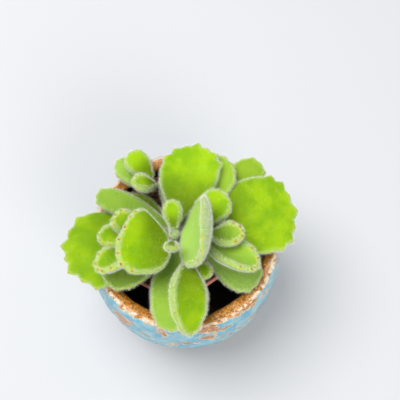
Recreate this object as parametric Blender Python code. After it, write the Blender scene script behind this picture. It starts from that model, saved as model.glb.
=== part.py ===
"""A potted cotyledon: a furry, thick-leaved succulent in a plastic nursery pot, inside a glazed planter.

Metres, +Z up. The origin is the middle of the planter's foot, on what it stands on. -Y is the front.
Each leaf and each stem is one solid. A leaf's base stands a small clearance off its stem.
"""

from dataclasses import dataclass
from math import cos, hypot, pi, radians, sin

import bmesh
import bpy
import numpy as np
from mathutils import Matrix, Vector

MM = 0.001

# ---- Driving dimensions ----------------------------------------------------------------------------------
CLEARANCE = 0.3 * MM  # between two pieces that touch
ROUND_STEPS = 40  # corners around the pots and the soil
CUTTER_SIDES = 12

PLANTER_HEIGHT = 88 * MM
PLANTER_FOOT_RADIUS = 46 * MM
PLANTER_BELLY_RADIUS = 65 * MM
PLANTER_BELLY_HEIGHT = 50 * MM
PLANTER_RIM_RADIUS = 61 * MM
PLANTER_WALL = 5.5 * MM
PLANTER_FLOOR = 8 * MM
PLANTER_LIP_WIDTH = 9 * MM  # the rolled lip, which overhangs the inside
PLANTER_LIP_THICKNESS = 6.6 * MM
PLANTER_LIP_SLOPE = 0.4  # how steeply the lip's top falls towards the inside
PLANTER_FOOT_CHAMFER = 1.5 * MM

NURSERY_RIM_RADIUS = 43 * MM
NURSERY_BASE_RADIUS = 30 * MM
NURSERY_BELOW_RIM = 12.2 * MM  # from the planter's rim down to the nursery pot's
NURSERY_WALL = 1.2 * MM
NURSERY_BAND_HEIGHT = 7 * MM  # the thicker band below the rim
NURSERY_BAND_STEP = 1.2 * MM  # how far the band stands out from the wall
NURSERY_OFF_CENTRE = 10 * MM  # how far it was pushed from the middle of the planter
NURSERY_PUSHED_TO = radians(123)
DRAIN_HOLES = 6
DRAIN_HOLE_RADIUS = 2.2 * MM
DRAIN_CIRCLE_RADIUS = 18 * MM

SOIL_BELOW_RIM = 6 * MM
SOIL_CROWN = 1.5 * MM  # how much higher the soil is in the middle

STEM_FOOT_RADIUS = 4.2 * MM
STEM_TIP_RADIUS = 2.6 * MM
STEM_HEIGHT = 43 * MM  # above the soil
STEM_ROOT_DEPTH = 12 * MM  # in the soil
STEM_LEAN = (-0.7 * MM, -15 * MM)  # how far the tip leans, along X and Y
STEM_SIDES = 12
SHOOT_FOOT_RADIUS = 2.6 * MM
SHOOT_TIP_RADIUS = 2.0 * MM

LEAF_ABOVE = 0.34  # the share of a leaf's thickness that is above its margin; the rest bulges below
LEAF_FACE_ROUNDNESS = 3.2  # across a leaf's section: 2 is an ellipse, more is squarer
LEAF_BACK_ROUNDNESS = 2.4
LEAF_STALK_END = 1 / 6  # how far the stalk's end bulges, as a share of its width
LEAF_INNER_ROW = 0.72  # where the rows between midrib and margin run
LEAF_SIDE_STEPS = 5  # corners along the narrowing half of each side


# ---- Helpers ---------------------------------------------------------------------------------------------
def clear_scene():
    for obj in list(bpy.data.objects):
        bpy.data.objects.remove(obj, do_unlink=True)


def make_material(name, colour, roughness):
    material = bpy.data.materials.new(name)
    material.use_nodes = True
    shader = material.node_tree.nodes["Principled BSDF"]
    shader.inputs["Base Color"].default_value = (*colour, 1)
    shader.inputs["Roughness"].default_value = roughness
    shader.inputs["Metallic"].default_value = 0
    return material


def add_object(name, mesh, material, smooth_below=radians(40)):
    obj = bpy.data.objects.new(name, mesh)
    bpy.context.scene.collection.objects.link(obj)
    mesh.materials.append(material)
    mesh.shade_smooth()
    mesh.set_sharp_from_angle(angle=smooth_below)
    return obj


def turned_mesh(name, profile, centre=(0, 0)):
    """A solid turned about Z: profile runs (radius, height) up from the axis and back to it."""
    mesh_data = bmesh.new()
    points = [mesh_data.verts.new((radius, 0, height)) for radius, height in profile]
    edges = [mesh_data.edges.new(pair) for pair in zip(points, points[1:])]
    bmesh.ops.spin(
        mesh_data, geom=points + edges, cent=(0, 0, 0), axis=(0, 0, 1), angle=2 * pi, steps=ROUND_STEPS
    )
    bmesh.ops.remove_doubles(mesh_data, verts=mesh_data.verts, dist=0.00001)
    bmesh.ops.recalc_face_normals(mesh_data, faces=mesh_data.faces)
    bmesh.ops.translate(mesh_data, verts=mesh_data.verts, vec=(*centre, 0))
    mesh = bpy.data.meshes.new(name)
    mesh_data.to_mesh(mesh)
    mesh_data.free()
    return mesh


def add_cutter(name, radius, bottom, top, x, y):
    mesh_data = bmesh.new()
    place = Matrix.Translation((x, y, (bottom + top) / 2))
    bmesh.ops.create_cone(
        mesh_data,
        cap_ends=True,
        segments=CUTTER_SIDES,
        radius1=radius,
        radius2=radius,
        depth=top - bottom,
        matrix=place,
    )
    mesh = bpy.data.meshes.new(name)
    mesh_data.to_mesh(mesh)
    mesh_data.free()
    cutter = bpy.data.objects.new(name, mesh)
    bpy.context.scene.collection.objects.link(cutter)
    cutter.hide_render = True
    cutter.display_type = "WIRE"
    return cutter


def cut(obj, cutter):
    modifier = obj.modifiers.new(cutter.name, "BOOLEAN")
    modifier.operation = "DIFFERENCE"
    modifier.object = cutter


# ---- The planter -----------------------------------------------------------------------------------------
def planter_radius(height):
    """The outside: a parabola from the foot out to the belly, and another from there in to the rim."""
    if height < PLANTER_BELLY_HEIGHT:
        share = (PLANTER_BELLY_HEIGHT - height) / PLANTER_BELLY_HEIGHT
        return PLANTER_BELLY_RADIUS - (PLANTER_BELLY_RADIUS - PLANTER_FOOT_RADIUS) * share**2
    share = (height - PLANTER_BELLY_HEIGHT) / (PLANTER_HEIGHT - PLANTER_BELLY_HEIGHT)
    return PLANTER_BELLY_RADIUS - (PLANTER_BELLY_RADIUS - PLANTER_RIM_RADIUS) * share**2


def lip_profile(start, stop, steps):
    """The rolled lip: an ellipse, sheared so that its top falls inwards, from one angle to another."""
    half_width, half_height = PLANTER_LIP_WIDTH / 2, PLANTER_LIP_THICKNESS / 2
    shear = PLANTER_LIP_SLOPE * half_width
    middle_radius = PLANTER_RIM_RADIUS - half_width
    middle_height = PLANTER_HEIGHT - hypot(half_height, shear)
    return [
        (middle_radius + half_width * cos(a), middle_height + half_height * sin(a) + shear * cos(a))
        for a in np.linspace(radians(start), radians(stop), steps)
    ]


def make_planter(material):
    lip = lip_profile(10, 240, 9)
    outer = [(0, 0), (PLANTER_FOOT_RADIUS - PLANTER_FOOT_CHAMFER, 0)]
    for height in np.linspace(PLANTER_FOOT_CHAMFER, lip[0][1], 8)[:-1]:
        outer.append((planter_radius(height), height))
    under_lip = PLANTER_HEIGHT - 2 * PLANTER_LIP_THICKNESS
    inner = []
    for height in np.linspace(under_lip, PLANTER_FLOOR, 6):
        inner.append((planter_radius(height) - PLANTER_WALL, height))
    return add_object("planter", turned_mesh("planter", outer + lip + inner + [(0, PLANTER_FLOOR)]), material)


# ---- The nursery pot and the soil ------------------------------------------------------------------------
NURSERY_FLOOR_Z = PLANTER_FLOOR + CLEARANCE
NURSERY_RIM_Z = PLANTER_HEIGHT - NURSERY_BELOW_RIM
NURSERY_BODY_RADIUS = NURSERY_RIM_RADIUS - NURSERY_BAND_STEP  # of the wall, where it would meet the rim


def nursery_centre():
    """Pushed from the middle of the planter, as far as the planter's wall and lip leave room."""
    foot_room = planter_radius(NURSERY_FLOOR_Z) - PLANTER_WALL - NURSERY_BASE_RADIUS
    rim_room = planter_radius(NURSERY_RIM_Z) - PLANTER_WALL - NURSERY_RIM_RADIUS
    reach = min(NURSERY_OFF_CENTRE, foot_room - CLEARANCE, rim_room - CLEARANCE)
    return reach * cos(NURSERY_PUSHED_TO), reach * sin(NURSERY_PUSHED_TO)


def nursery_radius(height):
    """The wall's outside at a height above the planter's foot."""
    share = (height - NURSERY_FLOOR_Z) / (NURSERY_RIM_Z - NURSERY_FLOOR_Z)
    return NURSERY_BASE_RADIUS + (NURSERY_BODY_RADIUS - NURSERY_BASE_RADIUS) * share


def make_nursery_pot(material):
    band_z = NURSERY_RIM_Z - NURSERY_BAND_HEIGHT
    floor_z = NURSERY_FLOOR_Z + NURSERY_WALL
    profile = [
        (0, NURSERY_FLOOR_Z),
        (nursery_radius(NURSERY_FLOOR_Z), NURSERY_FLOOR_Z),
        (nursery_radius(band_z), band_z),
        (nursery_radius(band_z) + NURSERY_BAND_STEP, band_z + NURSERY_WALL),
        (NURSERY_RIM_RADIUS, NURSERY_RIM_Z),
        (NURSERY_BODY_RADIUS - NURSERY_WALL, NURSERY_RIM_Z),
        (nursery_radius(floor_z) - NURSERY_WALL, floor_z),
        (0, floor_z),
    ]
    x, y = nursery_centre()
    pot = add_object("nursery_pot", turned_mesh("nursery_pot", profile, (x, y)), material)
    for number in range(DRAIN_HOLES):
        angle = 2 * pi * number / DRAIN_HOLES
        hole_x = x + DRAIN_CIRCLE_RADIUS * cos(angle)
        hole_y = y + DRAIN_CIRCLE_RADIUS * sin(angle)
        bottom, top = NURSERY_FLOOR_Z - NURSERY_WALL, floor_z + NURSERY_WALL
        cut(pot, add_cutter(f"drain_cutter_{number}", DRAIN_HOLE_RADIUS, bottom, top, hole_x, hole_y))
    return pot


SOIL_Z = NURSERY_RIM_Z - SOIL_BELOW_RIM  # the soil's edge


def make_soil(material):
    bottom = NURSERY_FLOOR_Z + NURSERY_WALL + CLEARANCE
    side = NURSERY_WALL + CLEARANCE
    edge = nursery_radius(SOIL_Z) - side
    crown = [(edge * share, SOIL_Z + SOIL_CROWN * (1 - share**2)) for share in (0.66, 0.33, 0)]
    profile = [(0, bottom), (nursery_radius(bottom) - side, bottom), (edge, SOIL_Z)] + crown
    soil = add_object("soil", turned_mesh("soil", profile, nursery_centre()), material)
    x, y = nursery_centre()
    socket_bottom = SOIL_Z - STEM_ROOT_DEPTH - CLEARANCE
    socket_top = SOIL_Z + 2 * SOIL_CROWN
    cut(soil, add_cutter("socket_cutter", STEM_FOOT_RADIUS + 2 * CLEARANCE, socket_bottom, socket_top, x, y))
    return soil


# ---- Stems -----------------------------------------------------------------------------------------------
class MainStem:
    """Upright in the soil, then leaning more and more to the front."""

    length = STEM_HEIGHT

    def point(self, along):
        lean = (max(along, 0) / STEM_HEIGHT) ** 2
        x, y = nursery_centre()
        return np.array((x + STEM_LEAN[0] * lean, y + STEM_LEAN[1] * lean, SOIL_Z + along))

    def radius(self, along):
        share = max(along, 0) / STEM_HEIGHT
        return STEM_FOOT_RADIUS + (STEM_TIP_RADIUS - STEM_FOOT_RADIUS) * share

    def stations(self):
        return [-STEM_ROOT_DEPTH, 0, *np.linspace(0, STEM_HEIGHT, 7)[1:]]


def stem_direction(stem, along):
    step = 0.1 * MM
    ahead = stem.point(along + step) - stem.point(along - step)
    return ahead / np.linalg.norm(ahead)


def direction(azimuth, lift=0):
    """Unit vector: azimuth turns from +X to +Y, lift is above level, both in degrees."""
    azimuth, lift = radians(azimuth), radians(lift)
    return np.array((cos(lift) * cos(azimuth), cos(lift) * sin(azimuth), sin(lift)))


def clear_reach(stem, along, out, half_width):
    """How far along out something this wide starts from the stem's axis, to stand clear of its side."""
    lean = abs(float(out @ stem_direction(stem, along)))
    steepest = 0.4  # past this a leaf starts above the stem's tip instead
    return (stem.radius(along) + 2 * CLEARANCE + half_width * lean) / max((1 - lean**2) ** 0.5, steepest)


class Shoot:
    """A side shoot, which leaves the main stem level and curves up.

    reach and rise place its tip, out from the main stem's axis and up.
    """

    def __init__(self, along_stem, azimuth, reach, rise):
        main = MainStem()
        out = direction(azimuth)
        up = np.array((0, 0, 1))
        start = clear_reach(main, along_stem, out, SHOOT_FOOT_RADIUS)
        foot = main.point(along_stem)
        self.foot = foot + out * start
        self.bow = foot + out * (start + 0.65 * (reach - start))
        self.tip = foot + out * reach + up * rise
        self.length = hypot(reach - start, rise)

    def point(self, along):
        share = along / self.length
        rest = 1 - share
        return rest**2 * self.foot + 2 * share * rest * self.bow + share**2 * self.tip

    def radius(self, along):
        return SHOOT_FOOT_RADIUS + (SHOOT_TIP_RADIUS - SHOOT_FOOT_RADIUS) * along / self.length

    def stations(self):
        return list(np.linspace(0, self.length, 6))


def make_stem(name, stem, material):
    """A tapering tube with flat ends."""
    mesh_data = bmesh.new()
    rings = []
    for along in stem.stations():
        turn = Vector(stem_direction(stem, along)).to_track_quat("Z", "Y").to_matrix().to_4x4()
        place = Matrix.Translation(stem.point(along)) @ turn
        radius = stem.radius(along)
        ring = bmesh.ops.create_circle(mesh_data, segments=STEM_SIDES, radius=radius, matrix=place)
        rings.append(ring["verts"])
    for pair in zip(rings, rings[1:]):
        edges = [edge for edge in mesh_data.edges if any(set(edge.verts) <= set(ring) for ring in pair)]
        bmesh.ops.bridge_loops(mesh_data, edges=edges)
    mesh_data.faces.new(rings[0])
    mesh_data.faces.new(rings[-1])
    bmesh.ops.recalc_face_normals(mesh_data, faces=mesh_data.faces)
    mesh = bpy.data.meshes.new(name)
    mesh_data.to_mesh(mesh)
    mesh_data.free()
    return add_object(name, mesh, material)


# ---- Leaves ----------------------------------------------------------------------------------------------
@dataclass
class Leaf:
    """Lengths in millimetres and angles in degrees. azimuth 0 is +X and 90 is +Y, and lift is above level."""

    name: str
    stem: str
    along: float  # on its stem's axis
    azimuth: float
    lift: float
    length: float
    width: float
    thick: float = 6.0
    cup: float = 20  # how far each margin turns up from the middle
    bend: float = 0  # how far the tip turns up from the base; less than 0 droops
    sweep: float = 0  # how far the tip turns to the left, seen from above
    roll: float = 0  # how far the left margin is raised
    skew: float = 0  # how far the left margin is ahead of the right, as a share of the distance across
    widest: float = 0.62  # where it is widest, as a share of the length
    neck: float = 4.4  # the width of the stalk
    taper: float = 1.3  # how early the blade narrows to the stalk
    blunt: float = 2.3  # the tip's roundness: 2 is an ellipse, more is squarer
    teeth: int = 2  # on each side of the one at the tip
    tooth: float = 0.9
    toothed_to: float = 76  # how far round from the tip the teeth run


def half_outline(leaf):
    """One side of the outline, from the tip to the base.

    Returns along and across without teeth, then how far the teeth move each point along and across.
    The outer half is a quarter of a superellipse, and the inner half a cosine that ends in the stalk.
    """
    half = leaf.width / 2
    belly = leaf.widest * leaf.length
    turn = np.radians(np.append(np.linspace(0, leaf.toothed_to, 2 * leaf.teeth + 2), 90))
    tooth = np.zeros(len(turn))
    tooth[0 : 2 * leaf.teeth + 1 : 2] = leaf.tooth
    power = 2 / leaf.blunt
    outer_along = belly + (leaf.length - belly) * np.cos(turn).clip(0) ** power
    outer_across = half * np.sin(turn) ** power
    share = np.linspace(0, 1, LEAF_SIDE_STEPS + 1)[1:]
    inner_along = belly * (1 - share)
    narrowing = np.cos(pi / 2 * share).clip(0) ** leaf.taper
    inner_across = leaf.neck / 2 + (half - leaf.neck / 2) * narrowing
    end = -leaf.neck * LEAF_STALK_END
    along = np.concatenate([outer_along, inner_along, [end]])
    across = np.concatenate([outer_across, inner_across, [0]])
    plain = np.zeros(LEAF_SIDE_STEPS + 1)
    tooth_along = np.concatenate([tooth * np.cos(turn), plain])
    tooth_across = np.concatenate([tooth * np.sin(turn), plain])
    return along, across, tooth_along, tooth_across


def thickness(leaf, along):
    """Thinner at the stalk, fullest past the middle, thinning again to the tip."""
    share = np.clip(along / leaf.length, 0, 1)
    full = 0.74 + 0.26 * np.sin(pi * np.clip(1.15 * share, 0, 1))
    thinning = 0.35 * np.clip((share - 0.75) / 0.25, 0, 1) ** 2
    return leaf.thick * full * (1 - thinning)


def around(left_side, mirror=1):
    """A side's values all the way round: tip to base on the left, and back up the right."""
    return np.concatenate([left_side, mirror * left_side[-2:0:-1]])


def flat_leaf(leaf):
    """The leaf before it is bent, as five rows of points (along, across, height).

    The rows are the midrib's face, a row beside it, the margin, a row on the back, and the midrib's back.
    """
    along, across, tooth_along, tooth_across = half_outline(leaf)
    midrib = 0.1 * leaf.length + 0.72 * along
    edge_along = around(along + tooth_along)
    edge_across = around(across + tooth_across, -1)
    inner_along = around(midrib) + LEAF_INNER_ROW * (edge_along - around(midrib))
    inner_across = LEAF_INNER_ROW * edge_across

    def spine(share):
        return np.column_stack([midrib, 0 * midrib, share * thickness(leaf, midrib)])

    def inner(share, roundness):
        full = (1 - LEAF_INNER_ROW**roundness) ** (1 / roundness)
        return np.column_stack([inner_along, inner_across, share * full * thickness(leaf, inner_along)])

    margin = np.column_stack([edge_along, edge_across, 0 * edge_along])
    below = LEAF_ABOVE - 1
    face, back = inner(LEAF_ABOVE, LEAF_FACE_ROUNDNESS), inner(below, LEAF_BACK_ROUNDNESS)
    return [spine(LEAF_ABOVE), face, margin, back, spine(below)]


def leaf_faces(side_points):
    """The faces between the rows, as indices into the rows stacked one after another."""
    ring = 2 * (side_points - 1)
    loop = np.arange(ring)
    on_spine = np.where(loop < side_points, loop, ring - loop)
    starts = np.cumsum([0, side_points, ring, ring, ring])
    rows = [on_spine, loop, loop, loop, on_spine]
    rows = [row + start for row, start in zip(rows, starts)]
    faces = []
    for upper, lower in zip(rows, rows[1:]):
        for here in loop:
            after = (here + 1) % ring
            corners = [upper[after], upper[here], lower[here], lower[after]]
            faces.append(list(dict.fromkeys(int(corner) for corner in corners)))
    return faces


def midrib_frame(leaf, along):
    """The midrib's points, and the directions to the left of it and up from it, at each distance along."""

    def turned(distance):
        share = distance / leaf.length
        return np.radians(leaf.azimuth + leaf.sweep * share), np.radians(leaf.lift + leaf.bend * share)

    stations = np.linspace(-leaf.neck, 1.1 * leaf.length, 120)
    azimuth, lift = turned((stations[1:] + stations[:-1]) / 2)
    ahead = np.column_stack([np.cos(lift) * np.cos(azimuth), np.cos(lift) * np.sin(azimuth), np.sin(lift)])
    path = np.vstack([np.zeros(3), np.cumsum(ahead, axis=0)]) * (stations[1] - stations[0])
    points = np.column_stack([np.interp(along, stations, path[:, axis]) for axis in range(3)])
    points -= [np.interp(0, stations, path[:, axis]) for axis in range(3)]
    azimuth, lift = turned(along)
    left = np.column_stack([-np.sin(azimuth), np.cos(azimuth), 0 * along])
    up = np.column_stack([-np.sin(lift) * np.cos(azimuth), -np.sin(lift) * np.sin(azimuth), np.cos(lift)])
    return points, left, up


def shaped_leaf(leaf, points):
    """The flat leaf cupped across, rolled about its midrib, then carried along the midrib's curve."""
    along, across, height = points.T
    along = along + leaf.skew * across * np.clip(along / leaf.length, 0, 1)
    radius = leaf.width / 2 / radians(leaf.cup)
    angle = across / radius
    side = np.sin(angle) * (radius - height)
    raised = radius - np.cos(angle) * (radius - height)
    roll = np.radians(leaf.roll)
    side, raised = side * np.cos(roll) - raised * np.sin(roll), side * np.sin(roll) + raised * np.cos(roll)
    spine, left, up = midrib_frame(leaf, along)
    return spine + left * side[:, None] + up * raised[:, None]


def leaf_base(leaf, stem):
    """Where the midrib starts: just clear of the stem's side, however steeply the leaf rises from it."""
    along = leaf.along * MM
    out = direction(leaf.azimuth, leaf.lift)
    stalk_end = LEAF_STALK_END * leaf.neck * MM
    return stem.point(along) + out * (clear_reach(stem, along, out, leaf.neck / 2 * MM) + stalk_end)


def make_leaf(leaf, stem, material):
    rows = flat_leaf(leaf)
    points = shaped_leaf(leaf, np.vstack(rows)) * MM + leaf_base(leaf, stem)
    mesh = bpy.data.meshes.new(leaf.name)
    mesh.from_pydata(points.tolist(), [], leaf_faces(len(rows[0])))
    mesh.validate()
    return add_object(leaf.name, mesh, material, smooth_below=radians(60))


SHOOTS = {
    "right_shoot": Shoot(29 * MM, -18, 16 * MM, 6 * MM),
    "left_shoot": Shoot(28 * MM, 199, 20 * MM, 5 * MM),
    "back_shoot": Shoot(13 * MM, 105, 31 * MM, 11 * MM),
    "front_shoot": Shoot(30 * MM, 292, 17 * MM, 5 * MM),
}

LEAVES = [
    # The main stem, from its tip down.
    Leaf("leaf_tip_back", "main_stem", 42, 90, 28, 16, 10.5, thick=5, cup=25, teeth=1, tooth=0.3),
    Leaf("leaf_tip_front", "main_stem", 42, 262, 50, 9, 7.5, thick=4.5, cup=25, teeth=1, tooth=0.3),
    Leaf("leaf_top_right", "main_stem", 38, 342, 16, 33, 42, cup=15, bend=100, neck=6, teeth=3,
         widest=0.32, taper=0.55, sweep=14),
    Leaf("leaf_top_left", "main_stem", 38, 203, 7, 30, 40, cup=15, bend=30, neck=6, teeth=3, sweep=-30,
         skew=0.2, widest=0.42, taper=0.6),
    Leaf("leaf_upper_back", "main_stem", 30, 71, 12, 52, 37, cup=12, bend=-10, teeth=3, blunt=2.0,
         tooth=1.9, skew=-0.12),
    Leaf("leaf_upper_front", "main_stem", 22, 264, 7, 59, 26, cup=15, bend=-16),
    Leaf("leaf_large_right", "main_stem", 19, 2, 11, 72, 51, cup=12, bend=-10, widest=0.7, blunt=2.3,
         teeth=3, roll=3, tooth=2.1),
    Leaf("leaf_large_left", "main_stem", 14.5, 194, 7.5, 67, 51, cup=7, roll=0.5, widest=0.68,
         blunt=1.75, teeth=3, tooth=2.4, thick=4.5),
    Leaf("leaf_lower_back", "main_stem", 25, 51, 7, 52, 31, cup=15, teeth=3),
    Leaf("leaf_lower_left", "main_stem", 20, 219, 8.7, 50, 28, cup=12, bend=-4, thick=4.5, sweep=-6),
    Leaf("leaf_back_right", "main_stem", 9, 31, 17, 66, 22, cup=15, bend=-6, widest=0.75),
    Leaf("leaf_back_left", "main_stem", 9, 150, 20.6, 51, 16, cup=15, sweep=14, widest=0.7, bend=-4,
         thick=4.5),
    Leaf("leaf_low_right", "main_stem", 12, 319, 11, 59, 25, cup=20, bend=-10, widest=0.76, taper=4.5),
    Leaf("leaf_low_back_left", "main_stem", 5, 145, 8.5, 35.5, 20, cup=20, thick=4.5),
    # The right shoot.
    Leaf("right_shoot_leaf_back", "right_shoot", 9, 48, 20, 25, 20, cup=25, sweep=-15, tooth=0.6),
    Leaf("right_shoot_leaf_middle", "right_shoot", 15, 338, 14, 21, 14, cup=45, sweep=30, bend=10,
         tooth=0.6, blunt=1.6),
    Leaf("right_shoot_leaf_front", "right_shoot", 9, 318, 10, 37, 20, cup=50, sweep=14, roll=-20,
         tooth=0.6, blunt=1.7),
    # The left shoot.
    Leaf("left_shoot_leaf_back", "left_shoot", 19, 138, 27.5, 16.5, 13.5, cup=30, tooth=0.6),
    Leaf("left_shoot_leaf_middle", "left_shoot", 14, 169, 12, 22, 14, cup=30, sweep=35, tooth=0.6,
         thick=5, blunt=1.6),
    Leaf("left_shoot_leaf_low", "left_shoot", 6, 196, 2.2, 22.5, 9, cup=30, tooth=0.6, thick=3.5),
    Leaf("left_shoot_leaf_front", "left_shoot", 12, 212, 13, 26, 17, cup=50, roll=20, tooth=0.6, blunt=1.6),
    # The back shoot.
    Leaf("back_shoot_leaf_left", "back_shoot", 26, 134, 20, 21, 15, cup=20, tooth=0.4),
    Leaf("back_shoot_leaf_low", "back_shoot", 19, 141, 9, 31, 17, cup=20, tooth=0.6, blunt=2.0),
    Leaf("back_shoot_leaf_small", "back_shoot", 26, 184, 34, 15, 11, cup=45, teeth=1, tooth=0.4),
    Leaf("back_shoot_leaf_right", "back_shoot", 24, 330, 12, 11, 8, cup=30, teeth=1, tooth=0.4),
    # The front shoot.
    Leaf("front_shoot_leaf", "front_shoot", 15, 268, 15, 45, 21, thick=8, cup=15, bend=-35, widest=0.5,
         blunt=1.7, tooth=0.6, roll=-22),
    Leaf("front_shoot_leaf_small", "front_shoot", 7, 302, 9, 13, 9, cup=30, teeth=1, tooth=0.4),
]


def main():
    clear_scene()
    glaze = make_material("blue_glaze", (0.19, 0.46, 0.58), 0.35)
    plastic = make_material("terracotta_plastic", (0.62, 0.2, 0.12), 0.5)
    peat = make_material("peat", (0.045, 0.025, 0.015), 1)
    bark = make_material("green_stem", (0.25, 0.3, 0.1), 0.8)
    felt = make_material("leaf_green", (0.3, 0.52, 0.03), 0.6)
    make_planter(glaze)
    make_nursery_pot(plastic)
    make_soil(peat)
    stems = {"main_stem": MainStem(), **SHOOTS}
    for name, stem in stems.items():
        make_stem(name, stem, bark)
    for leaf in LEAVES:
        make_leaf(leaf, stems[leaf.stem], felt)


main()
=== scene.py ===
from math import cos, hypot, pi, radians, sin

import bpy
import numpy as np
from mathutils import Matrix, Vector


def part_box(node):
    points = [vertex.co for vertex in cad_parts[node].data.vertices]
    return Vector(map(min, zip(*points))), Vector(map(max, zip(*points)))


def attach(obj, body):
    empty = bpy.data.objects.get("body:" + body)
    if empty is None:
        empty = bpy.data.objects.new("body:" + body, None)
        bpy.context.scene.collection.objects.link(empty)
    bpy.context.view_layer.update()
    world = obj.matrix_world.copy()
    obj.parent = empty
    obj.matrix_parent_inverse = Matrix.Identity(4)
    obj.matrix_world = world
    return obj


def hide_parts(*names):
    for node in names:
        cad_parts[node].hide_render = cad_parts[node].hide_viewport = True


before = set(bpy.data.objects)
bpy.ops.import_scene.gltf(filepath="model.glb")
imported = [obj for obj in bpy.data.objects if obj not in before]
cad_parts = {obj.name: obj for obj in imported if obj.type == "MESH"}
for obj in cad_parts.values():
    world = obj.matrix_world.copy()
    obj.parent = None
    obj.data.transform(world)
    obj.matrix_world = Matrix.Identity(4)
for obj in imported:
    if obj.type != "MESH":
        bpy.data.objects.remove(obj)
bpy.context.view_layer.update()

# %% [markdown]
# ## A potted cotyledon
# This notebook dresses a small succulent: thick felted leaves with teeth round their tips, on a short stem,
# in a thin plastic nursery pot that stands in a wide glazed planter. The imported model already gives every
# piece its place and size, so each finer piece below lies where its plain solid lies and stands in for it.

MM = 0.001


# %% [markdown]
# ## The camera
# Someone stands over the pot and looks down at it from the front, about 68 degrees below level, from
# half a metre away. A place and a direction give the camera exactly; `to_track_quat` turns it so that its
# own -Z looks along that direction while its Y stays up.

# %% The camera
from mathutils import Vector

CAMERA_PLACE = (0, -0.1263, 0.4676)
CAMERA_LOOKS = (0.0298, 0.3693, -0.9288)
SENSOR_WIDTH, LENS, NEAREST = 36, 55.2, 0.01  # the first two in millimetres
camera_data = bpy.data.cameras.new("camera")
camera_data.sensor_width = SENSOR_WIDTH
camera_data.lens = LENS
camera_data.clip_start = NEAREST
camera = bpy.data.objects.new("camera", camera_data)
camera.location = CAMERA_PLACE
camera.rotation_euler = Vector(CAMERA_LOOKS).to_track_quat("-Z", "Y").to_euler()
bpy.context.scene.collection.objects.link(camera)
bpy.context.scene.camera = camera
print("camera looks", round(np.degrees(np.arcsin(-CAMERA_LOOKS[2])), 1), "degrees down")

# %% [markdown]
# ## The floor and the light
# A plain pale floor reaches well past what the camera sees. Felt shows best in the even light of an overcast
# day, so a pale sky, one large soft lamp overhead and a weaker one in front light the plant: shadows stay
# soft, and the hairs catch light from every side. A soft lamp is an area light; its size against its distance
# sets how soft its shadows are.

# %% The floor
def put(mesh, name):
    """An object of this mesh in the scene, at the origin."""
    obj = bpy.data.objects.new(name, mesh)
    bpy.context.scene.collection.objects.link(obj)
    return obj


def new_finish(name, **constants):
    """A material and its tree, with the values that are the same all over set on the shader's own sockets."""
    material = bpy.data.materials.new(name)
    material.use_nodes = True
    shader = material.node_tree.nodes["Principled BSDF"]
    for key, value in constants.items():
        shader.inputs[key.replace("_", " ")].default_value = value
    return material, material.node_tree


FLOOR_HALF = 3.0
floor_mesh = bpy.data.meshes.new("floor")
corners = [(x * FLOOR_HALF, y * FLOOR_HALF, 0) for x, y in ((-1, -1), (1, -1), (1, 1), (-1, 1))]
floor_mesh.from_pydata(corners, [], [(0, 1, 2, 3)])
floor = put(floor_mesh, "floor")
floor_paint, _ = new_finish("floor_paint", Base_Color=(0.6, 0.6, 0.61, 1), Roughness=0.8)
floor.data.materials.append(floor_paint)
print("floor:", 2 * FLOOR_HALF, "m across")

# %% The lamps
def soft_lamp(name, place, aim, size, watts, colour=(1, 1, 1)):
    """A round area lamp at a place, turned so that its own -Z points at what it is aimed at."""
    lamp = bpy.data.lights.new(name, "AREA")
    lamp.shape = "DISK"
    lamp.size = size
    lamp.energy = watts
    lamp.color = colour
    obj = put(lamp, name)
    obj.location = place
    obj.rotation_euler = (Vector(aim) - Vector(place)).to_track_quat("-Z", "Y").to_euler()


SKY_COLOUR, SKY_STRENGTH = (0.9, 0.95, 1, 1), 0.55
soft_lamp("overhead_lamp", place=(-0.5, 0.35, 1.5), aim=(0, 0, 0.08), size=1.2, watts=24)
soft_lamp("front_lamp", place=(0.6, -1.3, 1.0), aim=(0, 0, 0.05), size=1.0, watts=12, colour=(1, 0.98, 0.95))
sky = bpy.data.worlds.new("overcast")
sky.use_nodes = True
background = sky.node_tree.nodes["Background"]
background.inputs["Color"].default_value = SKY_COLOUR
background.inputs["Strength"].default_value = SKY_STRENGTH
bpy.context.scene.world = sky
bpy.context.scene.view_settings.view_transform = "Standard"

# %% [markdown]
# ## Surfaces from arrays
# Every new piece is a stack of rings: a vase's are circles, a stem's are circles carried along a curve, and
# a leaf's are its outline shrinking to its midrib on both sides. One function closes such a stack into a
# solid skin. It works on whole arrays, because a Python loop over a hundred thousand points is slow, and
# it merges points that coincide, which closes the poles.

# %% Rings to a closed skin
import bmesh

def ring_faces(count, around):
    """Quads between neighbouring rings: corner (i, j) joins (i, j+1), (i+1, j+1) and (i+1, j), with j
    running on round the ring."""
    i, j = np.meshgrid(np.arange(count - 1), np.arange(around), indexing="ij")
    after = (j + 1) % around
    corners = [i * around + j, i * around + after, (i + 1) * around + after, (i + 1) * around + j]
    return np.stack(corners, axis=-1).reshape(-1, 4)


def fill_mesh(mesh, points, faces):
    """Puts arrays of points and of equal-sided faces into a mesh."""
    sides = faces.shape[1]
    mesh.vertices.add(len(points))
    mesh.vertices.foreach_set("co", points.astype(np.float32).ravel())
    mesh.loops.add(faces.size)
    mesh.loops.foreach_set("vertex_index", faces.astype(np.int32).ravel())
    mesh.polygons.add(len(faces))
    mesh.polygons.foreach_set("loop_start", np.arange(0, faces.size, sides, dtype=np.int32))
    mesh.update(calc_edges=True)


def tag(mesh, values):
    """Stores each named array of one number per point, for a material's Attribute node."""
    for name, numbers in values.items():
        attribute = mesh.attributes.new(name, "FLOAT", "POINT")
        attribute.data.foreach_set("value", np.asarray(numbers, np.float32).ravel())


MERGE = 1e-7  # metres


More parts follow.
